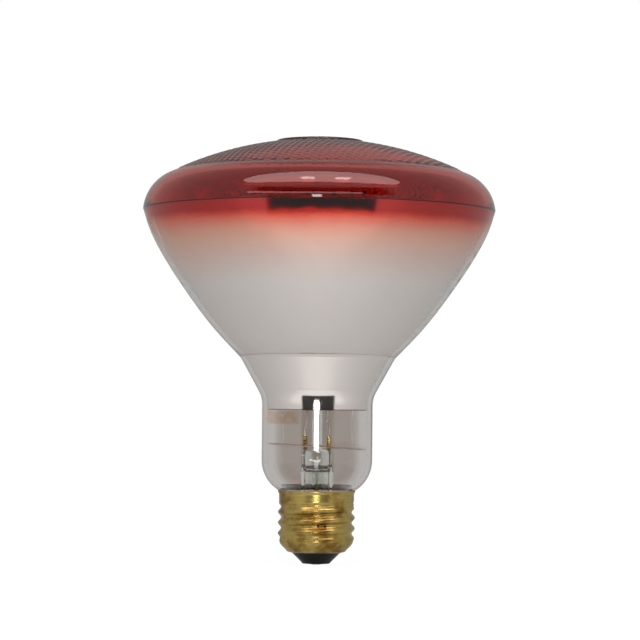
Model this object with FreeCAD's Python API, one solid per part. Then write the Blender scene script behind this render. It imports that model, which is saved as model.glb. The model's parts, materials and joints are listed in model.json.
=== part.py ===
"""Infrared reflector heat lamp: a pressed-glass lens fused to an aluminised glass bowl,
a glass stem that carries the filament, and an E26 medium screw base.

Units are millimetres. +Z is up and is the lamp's axis. The origin is on the axis, at the
flat tip of the centre contact, which is the lowest point. The front is -Y and the right is +X.
Each function below makes one node, and each node is written to parts/NODE.step.
"""
import FreeCAD, Part
import math
import os

# ---- driving dimensions: glass envelope --------------------------------------------------
RIM_RADIUS = 60.3            # widest point of the lamp, at the fused seam
SEAM_Z = 121.1               # height of the seam between lens and reflector
SHOULDER_POINT = (57.3, 128.7)   # (radius, height) on the lens's round shoulder
LENS_WALL = 2.2
LENS_INSIDE_STEP = 0.6       # the inside's corner lies this much nearer to the axis
LENS_INSIDE_SHOULDER = (1.9, 1.3)    # how far the shoulder's inside lies in and down
REFLECTOR_WALL = 1.6
FILM_THICKNESS = 0.1         # the aluminium film, drawn thicker than the real one
FILM_GAP = 0.07              # keeps the film's face off the glass's face
FILM_BOTTOM_Z = 52.6         # where the mirror ends in the neck

DOME_RADIUS = 115.6          # sphere of the lens face
DOME_APEX_Z = 145.4          # top of that sphere
STIPPLE_RADIUS = 50.0        # edge of the stippled zone
STIPPLE_STEP = 0.3           # height of that edge
DISC_RADIUS = 14.9           # smooth disc in the middle of the lens
DISC_STEP = 0.6              # how far the disc stands proud

NECK_RADIUS = 18.9           # clear cylinder of the neck
NECK_LOW_Z = 35.6
NECK_HIGH_Z = 54.5
SHOULDER_RADIUS = 12.1       # round lower shoulder of the neck
SHOULDER_SLOPE = 53.0        # degrees from vertical, where the shoulder meets the throat
THROAT_RADIUS = 10.9         # glass tube inside the screw shell
THROAT_FILLET = 5.0
THROAT_BOTTOM_Z = 17.0
FLARE_FILLET = 9.0           # concave round from the neck into the cone
CONE_HIGH = (26.3, 70.3)     # (radius, height) where the cone meets the bowl
BOWL_FILLET = 4.0            # concave round between the two
BOWL_LOW_SLOPE = 43.5        # degrees from vertical, at the bowl's lower end
BOWL_RIM_SLOPE = 17.0        # degrees from vertical, at the seam
BOWL_POINTS = ((34.9, 79.4), (44.5, 91.7), (52.7, 104.0), (58.2, 114.6))

# ---- driving dimensions: E26 screw base --------------------------------------------------
THREAD_PITCH = 3.629         # seven threads to the inch
THREAD_MEAN = 12.61
THREAD_DEPTH = 0.53          # half of crest radius minus root radius
THREAD_PHASE = 0.4212        # of a turn: the crest passes +X at this part of a pitch
SHELL_WALL = 0.25
SHELL_BOTTOM_Z = 4.1
SHELL_TOP_Z = 25.0
COLLAR_RADIUS = 12.8
LIP_RADIUS = 13.2
PUNCH_RADIUS = 0.42          # two punched pits in the front of the thread
PUNCH_PLACES = ((0.6, 13.5), (2.95, 13.4))
NOTCH_WIDTH = 1.3            # notch in the shell's lip, where the side lead comes out
NOTCH_BOTTOM_Z = 23.6
SOLDER_RADIUS = 1.0          # dome of solder over that notch
SOLDER_HEIGHT = 0.7
SOLDER_INNER_RADIUS = 12.84
CEMENT_BOTTOM_Z = 21.9
CEMENT_TOP_Z = 25.35
CEMENT_GAP = 0.02
FOOT_RADIUS = 10.3           # where the thread runs out into the rolled foot
FOOT_Z = 5.0
FOOT_ROUND = 1.65            # how far the foot turns in below that
FOOT_RISE = 3.2              # height over which the foot widens to the thread
COLLAR_Z = (19.0, 21.0)      # the thread's mean radius blends into the collar here
LIP_Z = (24.0, 24.8)         # and the collar flares into the lip here
CREST_START_Z = (7.2, 10.2)  # the thread's crest and root fade in and out at these heights
CREST_END_Z = (18.8, 19.9)
ROOT_START_Z = (8.0, 10.4)
ROOT_END_Z = (20.2, 21.8)
SHELL_COLUMNS = 40           # control points round the shell
SHELL_ROWS = 76              # control points up the shell

# ---- driving dimensions: contact end -----------------------------------------------------
INSULATOR_TOP_RADIUS = 8.32
INSULATOR_TIP_RADIUS = 4.95
INSULATOR_TIP_Z = 0.75
INSULATOR_FLANGE = 1.8       # the part inside the shell is wider by this much
INSULATOR_FLANGE_Z = (6.1, 7.2)
INSULATOR_HIGH_Z = 8.2
EYELET_RADIUS = 4.3
EYELET_Z = 0.35
EYELET_THICKNESS = 0.25
EYELET_BARREL = 1.35
EYELET_BARREL_HEIGHT = 1.6
CONTACT_SOLDER_HEIGHT = 1.0  # how far the solder reaches up the eyelet's bore
TIP_FLAT_RADIUS = 1.3        # flat end of the solder on the centre contact

# ---- driving dimensions: stem and filament -----------------------------------------------
STEM_RADIUS = 5.8
STEM_WALL = 1.0
STEM_TUBE_LOW_Z = 24.0       # the skirt curves out below this height
SKIRT_WALL = 0.7             # at the skirt's edge, where it is sealed to the throat
SKIRT_MIDDLE = (0.9, 3.1)    # middle of the skirt's curve, from the tube's face and the foot
SKIRT_INSIDE_MIDDLE = (1.0, 2.6)
STEM_TUBE_TOP_Z = 31.5
PRESS_Z = (34.0, 38.6)
PRESS_HALF = (5.2, 2.2)      # half width and half thickness of the pinched press
HOLLOW_HALF = (4.5, 0.9)     # the same for the upper end of the tube's hollow
EXHAUST_RADIUS = 1.9
EXHAUST_WALL = 0.8
EXHAUST_TIP_Z = 11.5
EXHAUST_FUNNEL_Z = 28.0      # the tube widens from here up to where it meets the press
EXHAUST_FUNNEL_RADIUS = 2.6
EXHAUST_TOP_Z = 32.6
PORT_RADIUS = 0.7            # the hole the air was pumped through, towards the back
PORT_Z = 33.4
ROD_RADIUS = 1.7
ROD_TOP_Z = 57.0
BUTTON_RADIUS = 2.7
LEAD_X = 4.1                 # distance of each lead from the axis, at the press
LEAD_HIGH_X = 3.4            # and beside the rod, above the collars
LEAD_BEND_Z = (45.8, 49.5)
LEAD_RADIUS = 0.4
SEAL_Z = (33.0, 37.5)        # length of the sealing wire in the press
SEAL_RADIUS = 0.3
OUTER_LEAD_RADIUS = 0.2
SIDE_LEAD_Z = (22.0, 20.9)   # it leaves the stem's axis at the first, the throat at the second
SIDE_LEAD_GAP = 0.24         # between the side lead and the throat
SIDE_LEAD_FOOT = (7.4, 1.2)  # its lowest bend: behind the axis, and below the throat's foot
SIDE_LEAD_NOTCH_Y = 12.28
CENTRE_LEAD_BENDS = ((LEAD_X, 20.0), (2.7, EXHAUST_TIP_Z + 0.5), (0.0, 8.0))
FILAMENT_Z = 73.0
FILAMENT_RING = 7.5          # radius of the ring that the coiled filament follows
FILAMENT_COIL = 0.6          # outer radius of the coil
FILAMENT_GAP = 70.0          # degrees left open between the filament's two ends
SUPPORT_RADIUS = 0.15
SUPPORT_ANGLES = (10.0, 90.0, 170.0)
DEFLECTOR_RADIUS = 16.6
DEFLECTOR_THICKNESS = 0.3
DEFLECTOR_Z = 40.2
DEFLECTOR_TILT = 3.2         # degrees, the right side lower
COLLAR_HEIGHT = 3.2          # crimped collars that hold the deflector on the leads
LOWER_COLLAR_HEIGHT = 1.0
COLLAR_OUTER = 0.8

ORIGIN = FreeCAD.Vector(0, 0, 0)
UP = FreeCAD.Vector(0, 0, 1)


# ---- helpers -----------------------------------------------------------------------------
def rz(radius, height):
    """Point of a half section, in the XZ plane."""
    return FreeCAD.Vector(radius, 0, height)


def line(start, end):
    return Part.LineSegment(rz(*start), rz(*end)).toShape()


def arc(start, middle, end):
    return Part.Arc(rz(*start), rz(*middle), rz(*end)).toShape()


def round_point(centre, radius, degrees):
    """Point of a circle in the half section; 0 degrees is outwards and 90 is up."""
    angle = math.radians(degrees)
    return (centre[0] + radius * math.cos(angle), centre[1] + radius * math.sin(angle))


def slope_way(degrees):
    """Unit direction that goes up and outwards, so many degrees from vertical."""
    return rz(math.sin(math.radians(degrees)), math.cos(math.radians(degrees)))


def turned(shape):
    return shape.revolve(ORIGIN, UP, 360)


def turned_outline(points):
    """Solid of revolution of a closed outline of straight sides."""
    corners = [rz(*point) for point in points]
    outline = Part.makePolygon(corners + corners[:1])
    return turned(Part.Face(outline))


def slab(low, high):
    """Everything between two heights, for trimming."""
    return Part.makeCylinder(100, high - low, FreeCAD.Vector(0, 0, low))


def rod(radius, low, high, x=0.0, y=0.0):
    return Part.makeCylinder(radius, high - low, FreeCAD.Vector(x, y, low))


def tube_path(points, bend):
    """Straight runs joined by tangent arcs of one radius."""
    points = [FreeCAD.Vector(*point) for point in points]
    edges = []
    here = points[0]
    for before, corner, after in zip(points, points[1:], points[2:]):
        towards = (corner - before).normalize()
        away = (after - corner).normalize()
        turn = towards.getAngle(away)
        cut_back = bend * math.tan(turn / 2)
        start = corner - towards * cut_back
        end = corner + away * cut_back
        inwards = (away - towards).normalize()
        depth = bend * (1 / math.cos(turn / 2) - 1)
        edges.append(Part.LineSegment(here, start).toShape())
        edges.append(Part.Arc(start, corner + inwards * depth, end).toShape())
        here = end
    edges.append(Part.LineSegment(here, points[-1]).toShape())
    return Part.Wire(edges)


def wire_solid(points, radius, bend):
    """Round wire along a path."""
    path = tube_path(points, bend)
    start = FreeCAD.Vector(*points[0])
    direction = FreeCAD.Vector(*points[1]) - start
    section = Part.Wire(Part.Circle(start, direction, radius).toShape())
    return path.makePipeShell([section], True, False)


def largest(shape):
    """The biggest solid of a cut, without the crumbs beside it."""
    return max(shape.Solids, key=lambda solid: solid.Volume)


def smooth_step(value, low, high):
    """0 below low, 1 above high, and smooth between them."""
    share = min(max((value - low) / (high - low), 0.0), 1.0)
    return share * share * (3 - 2 * share)


# ---- glass envelope ----------------------------------------------------------------------
def reflector_outline():
    """Outside of the neck and bowl, from the throat's lower end to just above the seam."""
    shoulder_centre = (NECK_RADIUS - SHOULDER_RADIUS, NECK_LOW_Z)
    shoulder_start = round_point(shoulder_centre, SHOULDER_RADIUS, -SHOULDER_SLOPE)
    shoulder_middle = round_point(shoulder_centre, SHOULDER_RADIUS, -SHOULDER_SLOPE / 2)
    slope = math.radians(SHOULDER_SLOPE)
    fillet_width = THROAT_FILLET * (1 - math.cos(slope))
    fillet_height = THROAT_FILLET * math.sin(slope)
    line_width = shoulder_start[0] - THROAT_RADIUS - fillet_width
    line_start = (THROAT_RADIUS + fillet_width, shoulder_start[1] - line_width / math.tan(slope))
    fillet_centre = (THROAT_RADIUS + THROAT_FILLET, line_start[1] - fillet_height)
    fillet_middle = round_point(fillet_centre, THROAT_FILLET, 180 - SHOULDER_SLOPE / 2)
    throat_top = (THROAT_RADIUS, fillet_centre[1])
    flare_centre = (NECK_RADIUS + FLARE_FILLET, NECK_HIGH_Z)
    cone_radius = CONE_HIGH[0] - flare_centre[0]
    cone_height = CONE_HIGH[1] - flare_centre[1]
    tangent_angle = math.degrees(
        math.atan2(cone_height, cone_radius)
        + math.acos(FLARE_FILLET / math.hypot(cone_radius, cone_height)))
    flare_end = round_point(flare_centre, FLARE_FILLET, tangent_angle)
    flare_middle = round_point(flare_centre, FLARE_FILLET, (180 + tangent_angle) / 2)
    cone_way = rz(*CONE_HIGH) - rz(*flare_end)
    cone_way.normalize()
    bowl_way = slope_way(BOWL_LOW_SLOPE)
    half_turn = cone_way.getAngle(bowl_way) / 2
    cut_back = BOWL_FILLET * math.tan(half_turn)
    kink_start = rz(*CONE_HIGH) - cone_way * cut_back
    kink_end = rz(*CONE_HIGH) + bowl_way * cut_back
    kink_way = (bowl_way - cone_way).normalize()
    kink_middle = rz(*CONE_HIGH) + kink_way * BOWL_FILLET * (1 / math.cos(half_turn) - 1)
    bowl_curve = Part.BSplineCurve()
    bowl_curve.interpolate(
        Points=[kink_end] + [rz(*point) for point in BOWL_POINTS + ((RIM_RADIUS, SEAM_Z),)],
        InitialTangent=bowl_way, FinalTangent=slope_way(BOWL_RIM_SLOPE))
    rim_direction = slope_way(BOWL_RIM_SLOPE)
    past_rim = (RIM_RADIUS + rim_direction.x * LENS_WALL, SEAM_Z + rim_direction.z * LENS_WALL)
    return [
        line((THROAT_RADIUS, THROAT_BOTTOM_Z), throat_top),
        arc(throat_top, fillet_middle, line_start),
        line(line_start, shoulder_start),
        arc(shoulder_start, shoulder_middle, (NECK_RADIUS, NECK_LOW_Z)),
        line((NECK_RADIUS, NECK_LOW_Z), (NECK_RADIUS, NECK_HIGH_Z)),
        arc((NECK_RADIUS, NECK_HIGH_Z), flare_middle, flare_end),
        Part.LineSegment(rz(*flare_end), kink_start).toShape(),
        Part.Arc(kink_start, kink_middle, kink_end).toShape(),
        bowl_curve.toShape(),
        line((RIM_RADIUS, SEAM_Z), past_rim),
    ]


def filled_throat():
    """The throat's outer shape without its hollow, for trimming what lies against it."""
    edges = reflector_outline()[:4]
    edges += [
        line((NECK_RADIUS, NECK_LOW_Z), (0, NECK_LOW_Z)),
        line((0, NECK_LOW_Z), (0, THROAT_BOTTOM_Z)),
        line((0, THROAT_BOTTOM_Z), (THROAT_RADIUS, THROAT_BOTTOM_Z)),
    ]
    return turned(Part.Face(Part.Wire(edges)))


def inward(edge, parameter):
    """Unit normal towards the lamp's inside, at a place on an upward-going edge."""
    tangent = edge.tangentAt(parameter)
    return FreeCAD.Vector(-tangent.z, 0, tangent.x)


def moved_in(edges, distance):
    """The same chain of edges, moved inwards by a distance, with its corners kept sharp."""
    corners = [inward(edges[0], edges[0].FirstParameter)]
    for below, above in zip(edges, edges[1:]):
        first = inward(below, below.LastParameter)
        second = inward(above, above.FirstParameter)
        corners.append((first + second) / (1 + first.dot(second)))
    corners.append(inward(edges[-1], edges[-1].LastParameter))
    moved = []
    for edge, low_normal, high_normal in zip(edges, corners, corners[1:]):
        start = edge.valueAt(edge.FirstParameter) + low_normal * distance
        end = edge.valueAt(edge.LastParameter) + high_normal * distance
        if edge.Curve.TypeId == "Part::GeomLine":
            moved.append(Part.LineSegment(start, end).toShape())
        elif edge.Curve.TypeId == "Part::GeomCircle":
            middle = (edge.FirstParameter + edge.LastParameter) / 2
            through = edge.valueAt(middle) + inward(edge, middle) * distance
            moved.append(Part.Arc(start, through, end).toShape())
        else:
            knots = edge.Curve.getKnots()[1:-1]
            through = [edge.valueAt(knot) + inward(edge, knot) * distance for knot in knots]
            curve = Part.BSplineCurve()
            curve.interpolate([start] + through + [end])
            moved.append(curve.toShape())
    return moved


def wall_between(outer, inner):
    """Solid of revolution between two chains of edges."""
    ends = []
    for outer_point, inner_point in (
            (outer[0].valueAt(outer[0].FirstParameter), inner[0].valueAt(inner[0].FirstParameter)),
            (outer[-1].valueAt(outer[-1].LastParameter), inner[-1].valueAt(inner[-1].LastParameter))):
        ends.append(Part.LineSegment(outer_point, inner_point).toShape())
    outline = Part.Wire(outer + [ends[1]] + inner[::-1] + [ends[0]])
    return turned(Part.Face(outline))


def reflector():
    """Bowl and clear neck, one piece of hard glass."""
    outer = reflector_outline()
    wall = wall_between(outer, moved_in(outer, REFLECTOR_WALL))
    return wall.common(slab(THROAT_BOTTOM_Z, SEAM_Z))


def aluminium_film():
    """Mirror on the inside of the bowl, down to the sharp line in the neck."""
    outer = reflector_outline()
    back = moved_in(outer, REFLECTOR_WALL + FILM_GAP)
    front = moved_in(outer, REFLECTOR_WALL + FILM_GAP + FILM_THICKNESS)
    return wall_between(back, front).common(slab(FILM_BOTTOM_Z, SEAM_Z - FILM_GAP))


def dome_height(radius):
    return DOME_APEX_Z - DOME_RADIUS + math.sqrt(DOME_RADIUS ** 2 - radius ** 2)


def lens():
    """Pressed cover: round shoulder, stippled zone and a smooth disc in the middle."""
    shoulder_end = (STIPPLE_RADIUS, dome_height(STIPPLE_RADIUS) - STIPPLE_STEP)
    below_seam = (RIM_RADIUS, SEAM_Z - LENS_WALL)
    stipple_middle = (STIPPLE_RADIUS + DISC_RADIUS) / 2
    disc_edge = (DISC_RADIUS, dome_height(DISC_RADIUS))
    disc_top = (DISC_RADIUS, dome_height(DISC_RADIUS) + DISC_STEP)
    outer = [
        line(below_seam, (RIM_RADIUS, SEAM_Z)),
        arc((RIM_RADIUS, SEAM_Z), SHOULDER_POINT, shoulder_end),
        line(shoulder_end, (STIPPLE_RADIUS, dome_height(STIPPLE_RADIUS))),
        arc((STIPPLE_RADIUS, dome_height(STIPPLE_RADIUS)),
            (stipple_middle, dome_height(stipple_middle)), disc_edge),
        line(disc_edge, disc_top),
        arc(disc_top, (DISC_RADIUS / 2, dome_height(DISC_RADIUS / 2) + DISC_STEP),
            (0, DOME_APEX_Z + DISC_STEP)),
    ]
    inner_seam = (RIM_RADIUS - LENS_WALL, SEAM_Z)
    inner_end = (STIPPLE_RADIUS - LENS_INSIDE_STEP,
                 dome_height(STIPPLE_RADIUS) - STIPPLE_STEP - LENS_WALL)
    inner_middle = (SHOULDER_POINT[0] - LENS_INSIDE_SHOULDER[0],
                    SHOULDER_POINT[1] - LENS_INSIDE_SHOULDER[1])
    inner = [
        line((0, DOME_APEX_Z + DISC_STEP), (0, DOME_APEX_Z - LENS_WALL)),
        arc((0, DOME_APEX_Z - LENS_WALL),
            (inner_end[0] / 2, dome_height(inner_end[0] / 2) - LENS_WALL), inner_end),
        arc(inner_end, inner_middle, inner_seam),
        line(inner_seam, (RIM_RADIUS - LENS_WALL, below_seam[1])),
        line((RIM_RADIUS - LENS_WALL, below_seam[1]), below_seam),
    ]
    return turned(Part.Face(Part.Wire(outer + inner))).common(slab(SEAM_Z, DOME_APEX_Z + DISC_STEP))


# ---- screw base --------------------------------------------------------------------------
def shell_base_radius(height):
    """Shell radius without its thread: rolled foot, thread mean, collar and flared lip."""
    if height < FOOT_Z:
        share = (FOOT_Z - height) / (FOOT_Z - SHELL_BOTTOM_Z)
        return FOOT_RADIUS - FOOT_ROUND * (1 - math.sqrt(max(1 - share * share, 0.0)))
    rise = min((height - FOOT_Z) / FOOT_RISE, 1)
    foot = FOOT_RADIUS + (THREAD_MEAN - FOOT_RADIUS) * math.sin(math.radians(90) * rise)
    collar = (COLLAR_RADIUS - THREAD_MEAN) * smooth_step(height, *COLLAR_Z)
    lip = (LIP_RADIUS - COLLAR_RADIUS) * smooth_step(height, *LIP_Z)
    return foot + collar + lip


def thread_height(angle, height):
    """Height of the rolled thread over the mean radius; it fades out at both ends."""
    wave = math.cos(2 * math.pi * (height / THREAD_PITCH - THREAD_PHASE) - angle)
    crest = smooth_step(height, *CREST_START_Z) * (1 - smooth_step(height, *CREST_END_Z))
    root = smooth_step(height, *ROOT_START_Z) * (1 - smooth_step(height, *ROOT_END_Z))
    return THREAD_DEPTH * (crest * max(wave, 0.0) + root * min(wave, 0.0))


def shell_face(inset):
    """One face of the shell: rings of control points that follow the helical thread.

    A cubic B-spline runs inside its control points, so they are set out by the amounts
    that bring the face back to the design radius and the design thread depth.
    """
    pitch_rows = THREAD_PITCH / (SHELL_TOP_Z - SHELL_BOTTOM_Z) * (SHELL_ROWS - 1)
    ring_scale = 3 / (2 + math.cos(2 * math.pi / SHELL_COLUMNS))
    wave_scale = 3 / (2 + math.cos(2 * math.pi / pitch_rows))
    rings = []
    for row in range(SHELL_ROWS):
        height = SHELL_BOTTOM_Z + (SHELL_TOP_Z - SHELL_BOTTOM_Z) * row / (SHELL_ROWS - 1)
        ring = []
        for column in range(SHELL_COLUMNS):
            angle = 2 * math.pi * column / SHELL_COLUMNS
            radius = shell_base_radius(height) + wave_scale * thread_height(angle, height) - inset
            radius *= ring_scale
            ring.append(FreeCAD.Vector(radius * math.cos(angle), radius * math.sin(angle), height))
        rings.append(ring)
    knots = [float(number) for number in range(SHELL_ROWS - 2)]
    row_counts = [4] + [1] * (SHELL_ROWS - 4) + [4]
    ring_knots = [float(number) for number in range(SHELL_COLUMNS + 1)]
    surface = Part.BSplineSurface()
    surface.buildFromPolesMultsKnots(
        rings, row_counts, [1] * (SHELL_COLUMNS + 1), knots, ring_knots, False, True, 3, 3)
    return surface


def end_ring(outer_surface, inner_surface, last):
    """Flat ring that joins the two faces of the shell at its top or bottom."""
    edges = []
    for surface in (outer_surface, inner_surface):
        u_first, u_last = surface.bounds()[:2]
        edges.append(Part.Wire(surface.uIso(u_last if last else u_first).toShape()))
    return Part.Face(edges)


def threaded_shell():
    """Rolled brass shell before its punch marks and notch."""
    outer_surface = shell_face(0.0)
    inner_surface = shell_face(SHELL_WALL)
    faces = [outer_surface.toShape(), inner_surface.toShape()]
    faces += [end_ring(outer_surface, inner_surface, last) for last in (False, True)]
    solid = Part.makeSolid(Part.makeShell(faces))
    solid.fix(0.001, 0.001, 0.001)
    return solid


def screw_shell():
    """E26 brass screw shell, with two punch marks in front and a notch at the back."""
    shell = threaded_shell()
    for x, height in PUNCH_PLACES:
        punch = Part.makeCylinder(
            PUNCH_RADIUS, 4, FreeCAD.Vector(x, -15, height), FreeCAD.Vector(0, 1, 0))
        shell = shell.cut(punch)
    notch = Part.makeBox(
        NOTCH_WIDTH, 5, 5, FreeCAD.Vector(-NOTCH_WIDTH / 2, 10, NOTCH_BOTTOM_Z))
    return shell.cut(notch)


def base_insulator():
    """Black moulded glass that fills the shell's foot and holds the centre contact."""
    return turned_outline((
        (EYELET_BARREL, EYELET_Z + EYELET_THICKNESS),
        (EYELET_RADIUS, EYELET_Z + EYELET_THICKNESS),
        (EYELET_RADIUS, EYELET_Z),
        (EYELET_RADIUS + 0.25, EYELET_Z),
        (INSULATOR_TIP_RADIUS - 0.1, EYELET_Z + 0.15),
        (INSULATOR_TIP_RADIUS, INSULATOR_TIP_Z),
        (INSULATOR_TOP_RADIUS, SHELL_BOTTOM_Z),
        (INSULATOR_TOP_RADIUS + 1.1, SHELL_BOTTOM_Z + 0.8),
        (INSULATOR_TOP_RADIUS + INSULATOR_FLANGE, INSULATOR_FLANGE_Z[0]),
        (INSULATOR_TOP_RADIUS + INSULATOR_FLANGE, INSULATOR_FLANGE_Z[1]),
        (EYELET_BARREL + 1.6, INSULATOR_HIGH_Z),
        (EYELET_BARREL, INSULATOR_HIGH_Z),
    ))


def centre_contact():
    """Brass eyelet: a disc under the glass with a barrel that the lead comes through."""
    disc_top = EYELET_Z + EYELET_THICKNESS
    bore = EYELET_BARREL - EYELET_THICKNESS
    return turned_outline((
        (bore, EYELET_Z),
        (EYELET_RADIUS, EYELET_Z),
        (EYELET_RADIUS, disc_top),
        (EYELET_BARREL, disc_top),
        (EYELET_BARREL, disc_top + EYELET_BARREL_HEIGHT),
        (bore, disc_top + EYELET_BARREL_HEIGHT),
    ))


def contact_solder():
    """Solder that fills the eyelet's bore and makes the flat tip of the lamp."""
    bore = EYELET_BARREL - EYELET_THICKNESS
    solder_top = EYELET_Z + CONTACT_SOLDER_HEIGHT
    blob = turned_outline((
        (0, 0),
        (TIP_FLAT_RADIUS, 0),
        (TIP_FLAT_RADIUS + 0.6, 0.1),
        (TIP_FLAT_RADIUS + 1.0, EYELET_Z),
        (bore, EYELET_Z),
        (bore, solder_top),
        (0, solder_top),
    ))
    return blob.cut(rod(OUTER_LEAD_RADIUS, EYELET_Z, solder_top + 1))


def side_solder():
    """Solder that fills the notch of the shell's lip and covers the end of the side lead."""
    fit_gap = 0.01
    half_width = NOTCH_WIDTH / 2 - fit_gap
    dome_y = LIP_RADIUS + fit_gap
    plug = Part.makeBox(
        2 * half_width, dome_y - SOLDER_INNER_RADIUS, SHELL_TOP_Z - NOTCH_BOTTOM_Z - 3 * fit_gap,
        FreeCAD.Vector(-half_width, SOLDER_INNER_RADIUS, NOTCH_BOTTOM_Z + fit_gap))
    dome = turned(Part.Face(Part.Wire([
        line((0, 0), (SOLDER_RADIUS, 0)),
        arc((SOLDER_RADIUS, 0), (SOLDER_RADIUS * 0.72, SOLDER_HEIGHT * 0.72), (0, SOLDER_HEIGHT)),
        line((0, SOLDER_HEIGHT), (0, 0)),
    ])))
    dome.rotate(ORIGIN, FreeCAD.Vector(1, 0, 0), -90)
    dome.translate(FreeCAD.Vector(0, dome_y, SHELL_TOP_Z - SOLDER_RADIUS - 0.05))
    return plug.fuse(dome).removeSplitter().cut(side_lead())


def basing_cement():
    """Brown cement between the neck and the shell; a thin line of it shows above the lip."""
    collar_bore = COLLAR_RADIUS - SHELL_WALL - CEMENT_GAP
    lip_bore = LIP_RADIUS - SHELL_WALL - CEMENT_GAP
    blank = turned_outline((
        (THROAT_RADIUS - 1, CEMENT_BOTTOM_Z),
        (collar_bore, CEMENT_BOTTOM_Z),
        (collar_bore, SHELL_TOP_Z - 1.1),
        (lip_bore, SHELL_TOP_Z - 0.2),
        (lip_bore, SHELL_TOP_Z + CEMENT_GAP),
        (LIP_RADIUS, SHELL_TOP_Z + CEMENT_GAP),
        (LIP_RADIUS, CEMENT_TOP_Z),
        (THROAT_RADIUS - 1, CEMENT_TOP_Z),
    ))
    for neighbour in (filled_throat(), screw_shell(), side_lead(), side_solder()):
        blank = blank.cut(neighbour)
    return largest(blank)


# ---- stem --------------------------------------------------------------------------------
def oval(half_width, half_depth, height):
    """Closed oval in a level plane."""
    if half_width == half_depth:
        curve = Part.Circle(FreeCAD.Vector(0, 0, height), UP, half_width)
    else:
        curve = Part.Ellipse(FreeCAD.Vector(0, 0, height), half_width, half_depth)
    return Part.Wire(curve.toShape())


def stem_flare():
    """Glass flare, tube and flat press in one piece, with its wire holes and exhaust port."""
    throat_bore = THROAT_RADIUS - REFLECTOR_WALL
    bore = STEM_RADIUS - STEM_WALL
    skirt_edge = throat_bore - SKIRT_WALL
    skirt = Part.Face(Part.Wire([
        line((skirt_edge, THROAT_BOTTOM_Z), (throat_bore, THROAT_BOTTOM_Z)),
        line((throat_bore, THROAT_BOTTOM_Z), (throat_bore, THROAT_BOTTOM_Z + 1)),
        arc((throat_bore, THROAT_BOTTOM_Z + 1),
            (STEM_RADIUS + SKIRT_MIDDLE[0], THROAT_BOTTOM_Z + SKIRT_MIDDLE[1]),
            (STEM_RADIUS, STEM_TUBE_LOW_Z)),
        line((STEM_RADIUS, STEM_TUBE_LOW_Z), (STEM_RADIUS, STEM_TUBE_TOP_Z)),
        line((STEM_RADIUS, STEM_TUBE_TOP_Z), (bore, STEM_TUBE_TOP_Z)),
        line((bore, STEM_TUBE_TOP_Z), (bore, STEM_TUBE_LOW_Z)),
        arc((bore, STEM_TUBE_LOW_Z),
            (bore + SKIRT_INSIDE_MIDDLE[0], THROAT_BOTTOM_Z + SKIRT_INSIDE_MIDDLE[1]),
            (skirt_edge, THROAT_BOTTOM_Z)),
    ]))
    press_low, press_high = PRESS_Z
    half_width, half_depth = PRESS_HALF
    tube_top = oval(STEM_RADIUS, STEM_RADIUS, STEM_TUBE_TOP_Z)
    press_foot = oval(half_width, half_depth, press_low)
    shoulder = Part.makeLoft([tube_top, press_foot], True)
    hollow = Part.makeLoft([
        oval(bore, bore, STEM_TUBE_TOP_Z), oval(*HOLLOW_HALF, SEAL_Z[0])], True)
    press = Part.Face(press_foot).extrude(FreeCAD.Vector(0, 0, press_high - press_low))
    stem = turned(skirt).fuse(shoulder.cut(hollow)).fuse(press)
    stem = stem.cut(rod(EXHAUST_FUNNEL_RADIUS, STEM_TUBE_TOP_Z, EXHAUST_TOP_Z))
    stem = stem.cut(rod(EXHAUST_RADIUS - EXHAUST_WALL, EXHAUST_TOP_Z, PORT_Z + PORT_RADIUS))
    stem = stem.cut(Part.makeCylinder(
        PORT_RADIUS, 8, FreeCAD.Vector(0, 0, PORT_Z), FreeCAD.Vector(0, 1, 0)))
    for x in (-LEAD_X, LEAD_X):
        stem = stem.cut(rod(SEAL_RADIUS, SEAL_Z[0], SEAL_Z[1], x))
        stem = stem.cut(rod(LEAD_RADIUS, SEAL_Z[1], press_high + 1, x))
    return stem


def exhaust_tube():
    """Pumping tube inside the flare, tipped off to a round end inside the base."""
    bore = EXHAUST_RADIUS - EXHAUST_WALL
    tip_start = EXHAUST_TIP_Z + EXHAUST_RADIUS
    return turned(Part.Face(Part.Wire([
        line((bore, EXHAUST_TOP_Z), (EXHAUST_FUNNEL_RADIUS, EXHAUST_TOP_Z)),
        line((EXHAUST_FUNNEL_RADIUS, EXHAUST_TOP_Z), (EXHAUST_RADIUS, EXHAUST_FUNNEL_Z)),
        line((EXHAUST_RADIUS, EXHAUST_FUNNEL_Z), (EXHAUST_RADIUS, tip_start)),
        arc((EXHAUST_RADIUS, tip_start),
            round_point((0, tip_start), EXHAUST_RADIUS, -45), (0, EXHAUST_TIP_Z)),
        line((0, EXHAUST_TIP_Z), (0, tip_start)),
        line((0, tip_start), (bore, tip_start + bore)),
        line((bore, tip_start + bore), (bore, EXHAUST_TOP_Z)),
    ])))


def arbor_rod():
    """Glass rod on the press, ending in the button that holds the filament supports."""
    button_z = ROD_TOP_Z + BUTTON_RADIUS
    neck_z = button_z - math.sqrt(BUTTON_RADIUS ** 2 - ROD_RADIUS ** 2)
    shape = turned(Part.Face(Part.Wire([
        line((0, PRESS_Z[1]), (ROD_RADIUS, PRESS_Z[1])),
        line((ROD_RADIUS, PRESS_Z[1]), (ROD_RADIUS, neck_z)),
        arc((ROD_RADIUS, neck_z), (BUTTON_RADIUS, button_z), (0, button_z + BUTTON_RADIUS)),
        line((0, button_z + BUTTON_RADIUS), (0, PRESS_Z[1])),
    ])))
    return shape.cut(filament_supports())


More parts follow.
